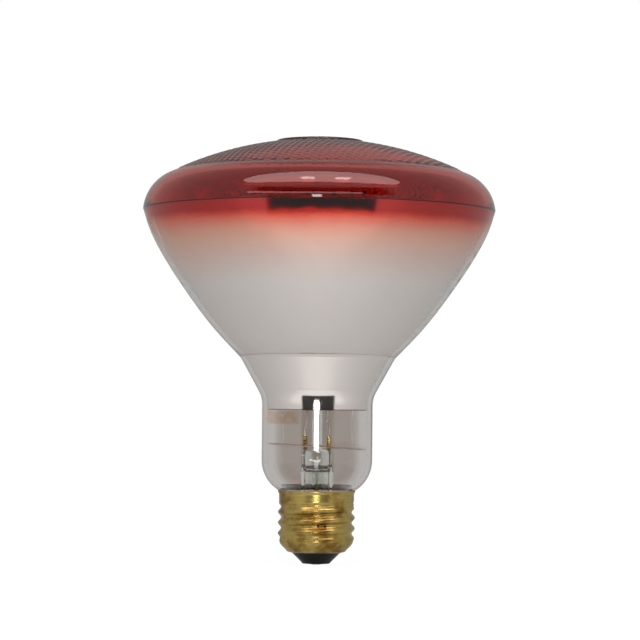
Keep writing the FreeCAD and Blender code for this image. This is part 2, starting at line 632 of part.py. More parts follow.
def inner_lead(side):
    """Stiff nickel lead from the press to one end of the filament."""
    end_angle = math.radians(-90 + side * FILAMENT_GAP / 2)
    end_x = FILAMENT_RING * math.cos(end_angle)
    end_y = FILAMENT_RING * math.sin(end_angle)
    return wire_solid((
        (side * LEAD_X, 0, SEAL_Z[1]),
        (side * LEAD_X, 0, LEAD_BEND_Z[0]),
        (side * LEAD_HIGH_X, 0, LEAD_BEND_Z[1]),
        (side * LEAD_HIGH_X, 0, ROD_TOP_Z),
        (end_x, end_y, FILAMENT_Z - 4),
        (end_x, end_y, FILAMENT_Z + 0.9),
    ), LEAD_RADIUS, 3.0)


def inner_lead_left():
    return inner_lead(-1)


def inner_lead_right():
    return inner_lead(1)


def seal_wires():
    """The two short wires that carry the current through the press."""
    return Part.makeCompound([
        rod(SEAL_RADIUS, SEAL_Z[0], SEAL_Z[1], x) for x in (-LEAD_X, LEAD_X)])


def side_lead():
    """Copper lead from the press, round the throat's foot and out at the shell's lip."""
    wire_y = THROAT_RADIUS + OUTER_LEAD_RADIUS + SIDE_LEAD_GAP
    foot_y, foot_drop = SIDE_LEAD_FOOT
    return wire_solid((
        (-LEAD_X, 0, SEAL_Z[0]),
        (-LEAD_X, 0, SIDE_LEAD_Z[0]),
        (0, foot_y, THROAT_BOTTOM_Z - foot_drop),
        (0, wire_y, THROAT_BOTTOM_Z - foot_drop / 2),
        (0, wire_y, SIDE_LEAD_Z[1]),
        (0, SIDE_LEAD_NOTCH_Y, NOTCH_BOTTOM_Z + 0.15),
        (0, LIP_RADIUS + 0.3, NOTCH_BOTTOM_Z + 0.45),
    ), OUTER_LEAD_RADIUS, 0.4)


def centre_lead():
    """Copper lead from the press to the centre contact."""
    bends = [(x, 0, height) for x, height in CENTRE_LEAD_BENDS]
    return wire_solid(
        [(LEAD_X, 0, SEAL_Z[0])] + bends + [(0, 0, EYELET_Z)], OUTER_LEAD_RADIUS, 1.0)


# ---- filament mount ----------------------------------------------------------------------
def ring_place(degrees, radius=FILAMENT_RING, height=FILAMENT_Z):
    angle = math.radians(degrees)
    return FreeCAD.Vector(radius * math.cos(angle), radius * math.sin(angle), height)


def filament():
    """Outer shape of the tungsten coil, bent into an open ring at the focus."""
    lead_width = math.degrees(LEAD_RADIUS / FILAMENT_RING)
    first = -90 + FILAMENT_GAP / 2 + lead_width
    last = 270 - FILAMENT_GAP / 2 - lead_width
    ring = Part.Arc(ring_place(first), ring_place(90), ring_place(last)).toShape()
    direction = ring_place(first + 90, 1, 0)
    section = Part.Circle(ring_place(first), direction, FILAMENT_COIL).toShape()
    return Part.Wire(ring).makePipeShell([Part.Wire(section)], True, False)


def filament_supports():
    """Molybdenum wires from the button, each ending in an eye round the coil."""
    eye_radius = FILAMENT_COIL + SUPPORT_RADIUS + 0.05
    button_z = ROD_TOP_Z + BUTTON_RADIUS
    supports = []
    for degrees in SUPPORT_ANGLES:
        wire = wire_solid((
            tuple(ring_place(degrees, 1.0, button_z)),
            tuple(ring_place(degrees, 5.5, button_z + 1.5)),
            tuple(ring_place(degrees, FILAMENT_RING, FILAMENT_Z - eye_radius)),
        ), SUPPORT_RADIUS, 1.5)
        eye = Part.makeTorus(
            eye_radius, SUPPORT_RADIUS, ring_place(degrees), ring_place(degrees + 90, 1, 0))
        supports.append(wire.fuse(eye))
    return Part.makeCompound(supports)


def deflector_height(x):
    """Middle of the deflector's thickness at a place across it."""
    return DEFLECTOR_Z - x * math.tan(math.radians(DEFLECTOR_TILT))


def heat_deflector():
    """Thin disc across the neck that keeps hot gas off the press; it sits a little tilted."""
    disc = rod(DEFLECTOR_RADIUS, -DEFLECTOR_THICKNESS / 2, DEFLECTOR_THICKNESS / 2)
    disc.rotate(ORIGIN, FreeCAD.Vector(0, 1, 0), DEFLECTOR_TILT)
    disc.translate(FreeCAD.Vector(0, 0, DEFLECTOR_Z))
    disc = disc.cut(rod(ROD_RADIUS + 0.4, PRESS_Z[1], ROD_TOP_Z))
    for x in (-LEAD_X, LEAD_X):
        disc = disc.cut(rod(LEAD_RADIUS + 0.1, PRESS_Z[1], ROD_TOP_Z, x))
    return disc


def deflector_collars():
    """Crimped brass collars on the leads, above and below the deflector."""
    collars = []
    for x in (-LEAD_X, LEAD_X):
        clearance = DEFLECTOR_THICKNESS / 2 + 0.08
        upper = deflector_height(x) + clearance
        lower = deflector_height(x) - clearance
        for low, high in ((upper, upper + COLLAR_HEIGHT), (lower - LOWER_COLLAR_HEIGHT, lower)):
            collar = rod(COLLAR_OUTER, low, high, x)
            collars.append(collar.cut(rod(LEAD_RADIUS, low, high, x)))
    return Part.makeCompound(collars)


NODES = (
    lens, reflector, aluminium_film,
    screw_shell, base_insulator, centre_contact, contact_solder, side_solder, basing_cement,
    stem_flare, exhaust_tube, arbor_rod,
    inner_lead_left, inner_lead_right, seal_wires, side_lead, centre_lead,
    filament, filament_supports, heat_deflector, deflector_collars,
)


def main():
    os.makedirs("parts", exist_ok=True)
    for maker in NODES:
        shape = maker()
        name = maker.__name__
        shape.exportStep("parts/" + name + ".step")
        print(name, len(shape.Solids), "solids, valid:", shape.isValid(), round(shape.Volume, 2))


if __name__ == "__main__":
    main()
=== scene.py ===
"""Looks for the infrared reflector heat lamp: red stippled lens, mirrored glass bowl with a
clear neck, glass stem and filament mount, brass screw base. Metres, +Z up, the front is -Y."""
import json
import math

import bpy
from mathutils import Matrix, Vector


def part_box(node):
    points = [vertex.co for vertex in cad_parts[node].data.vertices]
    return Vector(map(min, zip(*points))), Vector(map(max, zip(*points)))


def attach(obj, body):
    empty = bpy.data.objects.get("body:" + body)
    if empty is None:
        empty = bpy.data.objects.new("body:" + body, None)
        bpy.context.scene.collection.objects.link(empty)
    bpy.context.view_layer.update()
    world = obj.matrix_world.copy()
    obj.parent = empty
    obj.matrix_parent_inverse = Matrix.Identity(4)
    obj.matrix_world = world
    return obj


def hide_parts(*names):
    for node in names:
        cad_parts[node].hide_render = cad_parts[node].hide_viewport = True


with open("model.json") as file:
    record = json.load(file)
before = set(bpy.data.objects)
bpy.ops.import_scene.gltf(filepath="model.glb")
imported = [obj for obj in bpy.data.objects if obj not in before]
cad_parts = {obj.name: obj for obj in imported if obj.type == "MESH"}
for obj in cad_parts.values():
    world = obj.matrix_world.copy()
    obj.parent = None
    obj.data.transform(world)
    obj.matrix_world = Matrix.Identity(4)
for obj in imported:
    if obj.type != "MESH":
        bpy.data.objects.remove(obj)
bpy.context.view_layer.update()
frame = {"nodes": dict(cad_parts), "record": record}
scene = bpy.context.scene
MM = 0.001

# ---- places read from the frame ----------------------------------------------------------
LENS_LOW, LENS_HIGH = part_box("lens")
SEAM_Z = LENS_LOW.z
RIM_RADIUS = LENS_HIGH.x
APEX_Z = LENS_HIGH.z
MIRROR_LINE_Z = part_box("aluminium_film")[0].z

# ---- lens face, in metres ----------------------------------------------------------------
DISC_STEP = 0.6 * MM         # the smooth middle disc stands proud by this much
DISC_RADIUS = 14.9 * MM
DOME_RADIUS = 115.6 * MM
DOME_APEX_Z = APEX_Z - DISC_STEP
STIPPLE_RADIUS = 50.0 * MM
STIPPLE_STEP = 0.3 * MM      # the shoulder starts lower than the stippled zone by this much
STIPPLE_BLEND = 2.0 * MM     # the stippled zone comes down to it over this width
STIPPLE_FADE = 1.0 * MM      # the lenslets reach their full depth this far from the zone's edges
DISC_ROUND = 0.5 * MM        # width of the rounded edge of the disc
SHOULDER_POINT = (57.3 * MM, 128.7 * MM)
LENS_WALL = 2.2 * MM
LENS_INSIDE_STEP = 0.6 * MM  # the inside's corner lies this much nearer to the axis
LENS_INSIDE_SHOULDER = (1.9 * MM, 1.3 * MM)   # how far the shoulder's inside lies in and down
LENSLET_PITCH = 2.6 * MM
LENSLET_SAG = 0.38 * MM
LENSLET_TURN = math.radians(15.0)
FACE_RINGS = 128             # rings of points from the apex to the edge of the stipple
SECTORS = 6                  # each ring has this many points more than the ring inside it
ROUND_SHARES = (0.35, 0.62, 0.82, 0.94, 1.0)   # where rings lie across the disc's rounded edge
ROUND_DEPTH = 0.9            # how much of the disc's step the rounded edge may take up
DISC_INSET = 0.01 * MM       # keeps the disc's last ring on the upper side of the step
DISC_GAP = 0.12 * MM         # from the disc's edge to the first ring of the stippled zone
SHOULDER_STEPS = 22
INSIDE_STEPS = 7
INSIDE_SHARES = (0.86, 0.7, 0.52, 0.34, 0.17)  # where rings lie across the inner dome
SHARP_ANGLE = math.radians(50.0)


# ---- node helpers ------------------------------------------------------------------------
NOISE_SPAN = (0.3, 0.7)      # nearly all of a noise's values lie between these


class Nodes:
    """Short ways to add nodes to one node tree."""

    def __init__(self, tree):
        self.tree = tree

    def node(self, kind, **settings):
        made = self.tree.nodes.new("ShaderNode" + kind)
        for key, value in settings.items():
            setattr(made, key, value)
        return made

    def link(self, source, target):
        self.tree.links.new(source, target)

    def place(self, output="Object"):
        return self.node("TexCoord").outputs[output]

    def split(self, vector=None):
        made = self.node("SeparateXYZ")
        self.link(vector or self.place(), made.inputs["Vector"])
        return made.outputs

    def stretched(self, scale):
        mapping = self.node("Mapping")
        mapping.inputs["Scale"].default_value = scale
        self.link(self.place(), mapping.inputs["Vector"])
        return mapping.outputs["Vector"]

    def noise(self, scale, detail=3.0, rough=0.55, vector=None):
        made = self.node("TexNoise")
        made.inputs["Scale"].default_value = scale
        made.inputs["Detail"].default_value = detail
        made.inputs["Roughness"].default_value = rough
        self.link(vector or self.place(), made.inputs["Vector"])
        return made.outputs["Fac"]

    def spread(self, value, low, high, new_low=0.0, new_high=1.0, smooth=False):
        made = self.node("MapRange")
        made.interpolation_type = "SMOOTHSTEP" if smooth else "LINEAR"
        for name, number in (("From Min", low), ("From Max", high),
                             ("To Min", new_low), ("To Max", new_high)):
            made.inputs[name].default_value = number
        self.link(value, made.inputs["Value"])
        return made.outputs["Result"]

    def vary(self, noise, new_low=0.0, new_high=1.0):
        """A noise's usual span, stretched to two new limits."""
        return self.spread(noise, *NOISE_SPAN, new_low, new_high)

    def math(self, operation, first, second=0.0):
        made = self.node("Math", operation=operation)
        for socket, value in zip(made.inputs, (first, second)):
            if isinstance(value, (int, float)):
                socket.default_value = value
            else:
                self.link(value, socket)
        return made.outputs["Value"]

    def within(self, value, low, high, soft):
        """1 between two limits and 0 outside, with soft edges."""
        rise = self.spread(value, low - soft, low + soft, smooth=True)
        fall = self.spread(value, high - soft, high + soft, 1.0, 0.0, smooth=True)
        return self.math("MULTIPLY", rise, fall)

    def mix(self, share, first, second):
        made = self.node("Mix", data_type="RGBA")
        for socket, value in zip((made.inputs["Factor"], made.inputs[6], made.inputs[7]),
                                 (share, first, second)):
            if isinstance(value, bpy.types.NodeSocket):
                self.link(value, socket)
            else:
                socket.default_value = value
        return made.outputs[2]

    def ramp(self, value, stops):
        made = self.node("ValToRGB")
        elements = made.color_ramp.elements
        while len(elements) < len(stops):
            elements.new(1.0)
        for element, (position, colour) in zip(elements, stops):
            element.position = position
            element.color = colour
        self.link(value, made.inputs["Fac"])
        return made.outputs["Color"]


class Shader(Nodes):
    """A material with one Principled BSDF."""

    def __init__(self, name, **values):
        self.material = bpy.data.materials.new(name)
        self.material.use_nodes = True
        super().__init__(self.material.node_tree)
        self.surface = self.tree.nodes["Principled BSDF"]
        for socket, value in values.items():
            self.surface.inputs[socket.replace("_", " ")].default_value = value

    def bump(self, height, distance, strength):
        made = self.node("Bump")
        made.inputs["Strength"].default_value = strength
        made.inputs["Distance"].default_value = distance
        self.link(height, made.inputs["Height"])
        self.link(made.outputs["Normal"], self.surface.inputs["Normal"])

    def colour(self, socket):
        self.link(socket, self.surface.inputs["Base Color"])

    def roughness(self, socket):
        self.link(socket, self.surface.inputs["Roughness"])


def rgba(red, green, blue):
    return (red, green, blue, 1.0)


def grey(level, warmth=0.0):
    return (level * (1 + warmth), level, level * (1 - warmth), 1.0)


# ---- materials ---------------------------------------------------------------------------
COAT_RED = rgba(0.69, 0.09, 0.07)
CLEAR = rgba(0.975, 0.97, 0.965)
COAT_DEPTH = 28.0 * MM       # how far below the seam the last trace of red is
COAT_FADE = (                # tint from the last trace of red, at 0, up to the seam, at 1
    (0.00, CLEAR), (0.14, rgba(0.97, 0.945, 0.93)), (0.32, rgba(0.965, 0.865, 0.83)),
    (0.46, rgba(0.965, 0.80, 0.745)), (0.55, rgba(0.965, 0.75, 0.66)),
    (0.64, rgba(0.96, 0.665, 0.57)), (0.68, rgba(0.955, 0.60, 0.525)),
    (0.72, rgba(0.95, 0.525, 0.44)), (0.775, rgba(0.94, 0.40, 0.32)),
    (0.825, rgba(0.84, 0.22, 0.14)), (0.865, COAT_RED))
COAT_UNEVEN = 0.7 * MM       # how far the drift, and the specks, move the fade up and down
HAZE_BROWN = rgba(0.86, 0.64, 0.46)
HAZE_HEIGHT = (MIRROR_LINE_Z - 4.6 * MM, MIRROR_LINE_Z - 0.4 * MM)
HAZE_WIDTH = (-17.0 * MM, -6.0 * MM)
HAZE_SOFT = (0.5 * MM, 1.5 * MM)   # of its upper and lower edges, and of its sides
LINE_HEIGHT = 0.6 * MM       # height of the brown edge along the mirror's lower line
ENVELOPE_IOR = 1.48
STEM_IOR = 1.54


def red_glass():
    """Pressed glass under a fired-on ruby coat that is a little uneven."""
    made = Shader("ruby_coated_glass", Transmission_Weight=1.0, IOR=ENVELOPE_IOR, Roughness=0.02)
    patches = made.vary(made.noise(55.0))
    made.colour(made.mix(patches, rgba(0.66, 0.075, 0.06), COAT_RED))
    made.bump(made.noise(420.0, detail=2.0), 0.02 * MM, strength=0.4)
    return made.material


def bowl_glass():
    """Clear glass; the sprayed red coat reaches below the seam and thins out in specks. There is
    a brown haze under the mirror line, left of the middle of the front."""
    made = Shader("bowl_glass", Transmission_Weight=1.0, IOR=ENVELOPE_IOR, Roughness=0.0)
    place = made.split()
    drift = made.vary(made.noise(38.0), -COAT_UNEVEN, COAT_UNEVEN)
    specks = made.vary(made.noise(1900.0, detail=2.0, rough=0.7), -COAT_UNEVEN, COAT_UNEVEN)
    height = made.math("ADD", place["Z"], made.math("ADD", drift, specks))
    tint = made.ramp(made.spread(height, SEAM_Z - COAT_DEPTH, SEAM_Z), COAT_FADE)
    upright = made.within(place["Z"], *HAZE_HEIGHT, HAZE_SOFT[0])
    across = made.within(place["X"], *HAZE_WIDTH, HAZE_SOFT[1])
    front = made.spread(place["Y"], -2.0 * MM, 0.0, 1.0, 0.0)
    haze = made.math("MULTIPLY", made.math("MULTIPLY", upright, across), front)
    patchy = made.spread(made.noise(420.0, detail=2.0), 0.35, 0.65, 0.4, 1.0)
    made.colour(made.mix(made.math("MULTIPLY", haze, patchy), tint, HAZE_BROWN))
    return made.material


def mirror_film():
    """Vacuum-deposited aluminium, faintly grainy and brown along its lower line."""
    made = Shader("mirror_film", Metallic=1.0)
    cloud = made.noise(28.0)
    line = made.spread(made.split()["Z"], MIRROR_LINE_Z, MIRROR_LINE_Z + LINE_HEIGHT, smooth=True)
    metal = made.mix(cloud, rgba(0.86, 0.80, 0.765), rgba(0.90, 0.84, 0.81))
    made.colour(made.mix(line, rgba(0.24, 0.08, 0.06), metal))
    made.roughness(made.vary(cloud, 0.10, 0.15))
    made.bump(made.noise(900.0), 0.01 * MM, strength=0.2)
    return made.material


def brass():
    """Thin rolled brass with drawing lines, a lacquer shine and brown tarnish."""
    made = Shader("rolled_brass", Metallic=1.0)
    lines = made.noise(90.0, 4.0, 0.6, made.stretched((1.0, 1.0, 26.0)))
    stain = made.spread(made.noise(120.0, 4.0, 0.6), 0.40, 0.66, smooth=True)
    bright = made.mix(lines, rgba(0.38, 0.265, 0.06), rgba(0.60, 0.46, 0.16))
    made.colour(made.mix(stain, bright, rgba(0.22, 0.115, 0.02)))
    made.roughness(made.vary(lines, 0.18, 0.32))
    made.bump(lines, 0.03 * MM, strength=0.4)
    return made.material


def black_glass():
    """Moulded base glass, glossy with a slight orange-peel skin."""
    made = Shader("black_base_glass", Specular_IOR_Level=0.12)
    cloud = made.noise(300.0)
    made.colour(made.mix(cloud, rgba(0.004, 0.004, 0.006), rgba(0.014, 0.013, 0.016)))
    made.roughness(made.vary(cloud, 0.16, 0.34))
    made.bump(made.noise(700.0, detail=2.0), 0.05 * MM, strength=0.5)
    return made.material


def solder():
    """Dull grey solder, grainy where it froze."""
    made = Shader("dull_solder", Metallic=1.0)
    cloud = made.noise(900.0, detail=4.0)
    made.colour(made.mix(cloud, rgba(0.28, 0.28, 0.28), rgba(0.55, 0.54, 0.52)))
    made.roughness(made.vary(cloud, 0.3, 0.55))
    made.bump(cloud, 0.08 * MM, strength=0.6)
    return made.material


def cement():
    """Baked basing cement, matte and sandy."""
    made = Shader("basing_cement")
    grain = made.noise(2200.0, detail=4.0, rough=0.7)
    made.colour(made.mix(grain, rgba(0.22, 0.15, 0.10), rgba(0.46, 0.36, 0.27)))
    made.roughness(made.vary(grain, 0.75, 0.95))
    made.bump(grain, 0.15 * MM, strength=0.8)
    return made.material


def stem_glass():
    """Slightly green lead glass with a wavy, fire-polished skin."""
    made = Shader("stem_glass", Transmission_Weight=1.0, IOR=STEM_IOR, Roughness=0.0)
    cloud = made.noise(140.0, detail=2.0)
    made.colour(made.mix(cloud, rgba(0.86, 0.90, 0.86), rgba(0.95, 0.97, 0.94)))
    made.bump(made.noise(220.0, detail=2.0), 0.2 * MM, strength=0.8)
    return made.material


def drawn_wire(name, dark, light, smoothest, roughest):
    """Drawn metal wire with fine die lines and a heat tint."""
    made = Shader(name, Metallic=1.0)
    lines = made.noise(2500.0, 3.0, 0.6, made.stretched((1.0, 1.0, 0.12)))
    made.colour(made.mix(lines, dark, light))
    made.roughness(made.vary(lines, smoothest, roughest))
    made.bump(lines, 0.03 * MM, strength=0.5)
    return made.material


def deflector_sheet():
    """Thin pale sheet with a brown heat tint."""
    made = Shader("deflector_sheet", Metallic=0.6)
    cloud = made.noise(160.0, detail=4.0, rough=0.6)
    tint = made.spread(cloud, 0.4, 0.7, smooth=True)
    made.colour(made.mix(tint, rgba(0.58, 0.55, 0.50), rgba(0.36, 0.27, 0.20)))
    made.roughness(made.vary(cloud, 0.3, 0.5))
    made.bump(made.noise(900.0), 0.05 * MM, strength=0.5)
    return made.material


def paint_nodes():
    """One material for each of the record's slots, on the CAD nodes that keep their mesh."""
    by_slot = {
        "red_lens_glass": red_glass(),
        "clear_glass": bowl_glass(),
        "mirror_film": mirror_film(),
        "brass": brass(),
        "black_glass": black_glass(),
        "solder": solder(),
        "cement": cement(),
        "stem_glass": stem_glass(),
        "nickel_wire": drawn_wire(
            "nickel_wire", rgba(0.40, 0.38, 0.35), rgba(0.66, 0.64, 0.60), 0.2, 0.4),
        "copper_wire": drawn_wire(
            "copper_wire", rgba(0.45, 0.20, 0.10), rgba(0.72, 0.36, 0.20), 0.25, 0.45),
        "tungsten": drawn_wire(
            "tungsten_wire", rgba(0.12, 0.12, 0.13), rgba(0.28, 0.28, 0.30), 0.3, 0.5),
        "molybdenum_wire": drawn_wire(
            "molybdenum_wire", rgba(0.34, 0.34, 0.35), rgba(0.52, 0.52, 0.53), 0.25, 0.4),
        "deflector_sheet": deflector_sheet(),
    }
    for row in frame["record"]["subparts"]:
        node = frame["nodes"][row["node"]]
        node.data.materials.clear()
        node.data.materials.append(by_slot[row["material_slot"]])
    return by_slot


# ---- the lens with its stipple -----------------------------------------------------------
def dome_height(radius):
    """Height of the sphere that the stippled zone lies on."""
    return DOME_APEX_Z - DOME_RADIUS + math.sqrt(DOME_RADIUS ** 2 - radius ** 2)


def lenslet_drop(x, y):
    """How far the stipple lies under the dome: caps on a hexagonal grid."""
    across = x * math.cos(LENSLET_TURN) + y * math.sin(LENSLET_TURN)
    along = y * math.cos(LENSLET_TURN) - x * math.sin(LENSLET_TURN)
    row_height = LENSLET_PITCH * math.sqrt(3) / 2
    nearest = LENSLET_PITCH
    first_row = math.floor(along / row_height)
    for row in (first_row, first_row + 1):
        shift = LENSLET_PITCH / 2 if row % 2 else 0.0
        column = round((across - shift) / LENSLET_PITCH)
        gap = math.hypot(across - shift - column * LENSLET_PITCH, along - row * row_height)
        nearest = min(nearest, gap)
    corner = LENSLET_PITCH / math.sqrt(3)
    return LENSLET_SAG * (nearest / corner) ** 2


def face_height(x, y):
    """Height of the face: the smooth disc in the middle, then the stippled zone."""
    radius = math.hypot(x, y)
    if radius < DISC_RADIUS:
        into_round = max(0.0, (radius - DISC_RADIUS + DISC_ROUND) / DISC_ROUND)
        rounding = DISC_ROUND * (1 - math.sqrt(max(0.0, 1 - into_round ** 2)))
        return dome_height(radius) + DISC_STEP - min(rounding, ROUND_DEPTH * DISC_STEP)
    inside = min(radius - DISC_RADIUS, STIPPLE_RADIUS - radius)
    full = max(0.0, min(1.0, inside / STIPPLE_FADE))
    way_out = max(0.0, 1 - (STIPPLE_RADIUS - radius) / STIPPLE_BLEND)
    step = STIPPLE_STEP * way_out * way_out * (3 - 2 * way_out)
    return dome_height(radius) - lenslet_drop(x, y) * full - step


def arc_points(first, middle, last, steps):
    """Points of the circle through three points of the half section, ends left out."""
    (ax, az), (bx, bz), (cx, cz) = first, middle, last
    scale = 2 * (ax * (bz - cz) + bx * (cz - az) + cx * (az - bz))
    sums = [x * x + z * z for x, z in (first, middle, last)]
    centre_x = (sums[0] * (bz - cz) + sums[1] * (cz - az) + sums[2] * (az - bz)) / scale
    centre_z = (sums[0] * (cx - bx) + sums[1] * (ax - cx) + sums[2] * (bx - ax)) / scale
    radius = math.hypot(ax - centre_x, az - centre_z)
    start = math.atan2(az - centre_z, ax - centre_x)
    turn = math.atan2(cz - centre_z, cx - centre_x) - start
    return [(centre_x + radius * math.cos(start + turn * step / steps),
             centre_z + radius * math.sin(start + turn * step / steps))
            for step in range(1, steps)]


def face_rings():
    """Radii of the rings: closer together where the disc ends, so that its step stays sharp."""
    inner = round(FACE_RINGS * DISC_RADIUS / STIPPLE_RADIUS)
    outer = FACE_RINGS - inner
    spaces = inner - len(ROUND_SHARES)
    flat = DISC_RADIUS - DISC_ROUND
    first = DISC_RADIUS + DISC_GAP
    radii = [flat * ring / spaces for ring in range(spaces + 1)]
    radii += [flat + DISC_ROUND * share for share in ROUND_SHARES]
    radii[-1] -= DISC_INSET
    radii += [first + (STIPPLE_RADIUS - first) * ring / (outer - 1) for ring in range(outer)]
    return radii


def face_points():
    """Points of the face, ring by ring from the apex, and the index at which each ring starts."""
    points = [(0.0, 0.0, face_height(0.0, 0.0))]
    starts = [0]
    for ring, radius in enumerate(face_rings()[1:], start=1):
        starts.append(len(points))
        for step in range(SECTORS * ring):
            angle = math.tau * step / (SECTORS * ring)
            x = radius * math.cos(angle)
            y = radius * math.sin(angle)
            points.append((x, y, face_height(x, y)))
    return points, starts


def face_triangles(starts):
    """Triangles that join each ring of the face to the next."""
    faces = []
    for ring in range(len(starts) - 1):
        inner_count = SECTORS * ring
        outer_count = SECTORS * (ring + 1)
        for sector in range(SECTORS):
            for step in range(ring + 1):
                outer = starts[ring + 1] + (sector * (ring + 1) + step) % outer_count
                following = starts[ring + 1] + (sector * (ring + 1) + step + 1) % outer_count
                inner = starts[ring] + (sector * ring + step) % max(inner_count, 1)
                faces.append((inner, outer, following))
                if step < ring:
                    beside = starts[ring] + (sector * ring + step + 1) % inner_count
                    faces.append((inner, following, beside))
    return faces


def lens_section():
    """Half section past the face: shoulder, seam, and back along the inside of the wall."""
    shoulder_top = (STIPPLE_RADIUS, dome_height(STIPPLE_RADIUS) - STIPPLE_STEP)
    seam = (RIM_RADIUS, SEAM_Z)
    inner_seam = (RIM_RADIUS - LENS_WALL, SEAM_Z)
    inner_middle = (SHOULDER_POINT[0] - LENS_INSIDE_SHOULDER[0],
                    SHOULDER_POINT[1] - LENS_INSIDE_SHOULDER[1])
    inner_top = (STIPPLE_RADIUS - LENS_INSIDE_STEP, shoulder_top[1] - LENS_WALL)
    outline = arc_points(seam, SHOULDER_POINT, shoulder_top, SHOULDER_STEPS)[::-1]
    outline += [seam, inner_seam]
    outline += arc_points(inner_seam, inner_middle, inner_top, INSIDE_STEPS)
    outline.append(inner_top)
    outline += [(inner_top[0] * share, dome_height(inner_top[0] * share) - LENS_WALL)
                for share in INSIDE_SHARES]
    return outline


def lens_piece():
    """The whole lens as one closed mesh: the face, then its section turned about the axis."""
    points, starts = face_points()
    faces = face_triangles(starts)
    columns = SECTORS * (len(starts) - 1)
    below = starts[-1]
    for radius, height in lens_section():
        start = len(points)
        for step in range(columns):
            angle = math.tau * step / columns
            points.append((radius * math.cos(angle), radius * math.sin(angle), height))
        for step in range(columns):
            beside = (step + 1) % columns
            faces.append((below + step, start + step, start + beside, below + beside))
        below = start
    tip = len(points)
    points.append((0.0, 0.0, DOME_APEX_Z - LENS_WALL))
    faces += [(below + step, tip, below + (step + 1) % columns) for step in range(columns)]
    mesh = bpy.data.meshes.new("lens_stippled")
    mesh.from_pydata(points, [], faces)
    mesh.shade_smooth()
    mesh.set_sharp_from_angle(angle=SHARP_ANGLE)
    piece = bpy.data.objects.new("lens_stippled", mesh)
    scene.collection.objects.link(piece)
    return piece


def add_lens(by_slot):
    piece = lens_piece()
    piece.data.materials.append(by_slot["red_lens_glass"])
    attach(piece, "root")
    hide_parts("lens")


# ---- floor -------------------------------------------------------------------------------
FLOOR_RADIUS = 3.0
FLOOR_SIDES = 96
FLOOR_GLOW = 1.03
GLOW_SHARE = 0.94            # of the floor as the camera sees it; the rest is matte


def floor_material():
    """Pale matte floor that reads as plain white, with only the softest shadow on it."""
    material = bpy.data.materials.new("pale_floor")
    material.use_nodes = True
    made = Nodes(material.node_tree)
    matte = made.tree.nodes["Principled BSDF"]
    matte.inputs["Base Color"].default_value = grey(0.86)
    matte.inputs["Roughness"].default_value = 1.0
    glow = made.node("Emission")
    glow.inputs["Strength"].default_value = FLOOR_GLOW
    blend = made.node("MixShader")
    camera_ray = made.node("LightPath").outputs["Is Camera Ray"]
    made.link(made.math("MULTIPLY", camera_ray, GLOW_SHARE), blend.inputs["Fac"])
    made.link(matte.outputs["BSDF"], blend.inputs[1])
    made.link(glow.outputs[0], blend.inputs[2])
    made.link(blend.outputs[0], made.tree.nodes["Material Output"].inputs["Surface"])
    return material


def build_floor():
    """A round floor that neither the glass nor the metal shows, so that both show the tent."""
    angles = [math.tau * side / FLOOR_SIDES for side in range(FLOOR_SIDES)]
    ring = [(FLOOR_RADIUS * math.cos(angle), FLOOR_RADIUS * math.sin(angle), 0)
            for angle in angles]
    mesh = bpy.data.meshes.new("floor")
    mesh.from_pydata(ring, [], [tuple(range(FLOOR_SIDES))])
    mesh.materials.append(floor_material())
    floor = bpy.data.objects.new("floor", mesh)
    floor.visible_glossy = False
    floor.visible_transmission = False
    scene.collection.objects.link(floor)


# ---- light tent --------------------------------------------------------------------------
# Directions are in degrees. Azimuth is 0 in front and grows to the right; elevation is 0 at the
# horizon. A patch has limits in azimuth, limits in elevation, and the softness of both.
HOOD = ((-48.0, 50.0), (22.0, 40.0), (6.0, 1.5))
BAR = ((-50.0, 29.0), (24.0, 28.5), (2.0, 1.0))
SPOT = ((-4.5, 1.5), (18.0, 21.5), (0.8, 0.6))
LOW_STRIP = ((-5.5, 3.5), (-26.0, -1.7), (1.5, 0.3))
OPENING_MIDDLE = 1.6
OPENING_SIDES = (38.0, 39.6)     # from the middle, where its edge begins and ends
OPENING_HEIGHT = (-34.0, 22.0)
OPENING_SOFT = 0.8               # of its upper and lower edges
OPENING_NARROWING = 3.5          # each side comes in by this much from the bottom to the horizon
OPENING_OUTSIDE = 0.5            # its strength for rays that haven't come through glass
DARK = grey(0.012, 0.2)
BAR_LIGHT = grey(2.4)
SPOT_LIGHT = grey(13.0)
STRIP_LIGHT = grey(8.0)
CORE_SIDES = (3.0, 10.0)         # from straight behind, where its edge begins and ends
CORE_HEIGHT = (-20.0, 20.0)
CORE_SOFT = 4.0                  # of its upper and lower edges
CORE_BROWN = rgba(0.27, 0.23, 0.20)
HORIZON = (-0.25, 0.02)          # sines of the elevations between which low turns into high
LOW_ROOM = (                     # the tent below the horizon, from the front, 0, to the back, 1
    (0.00, grey(0.98)), (0.10, grey(0.98)), (0.22, grey(0.88)), (0.30, grey(0.70)),
    (0.38, grey(0.64)), (0.50, grey(0.58)), (1.00, grey(0.44, 0.03)))
HIGH_ROOM = ((0.00, grey(0.72)), (0.50, grey(0.55)), (1.00, grey(0.43, 0.04)))


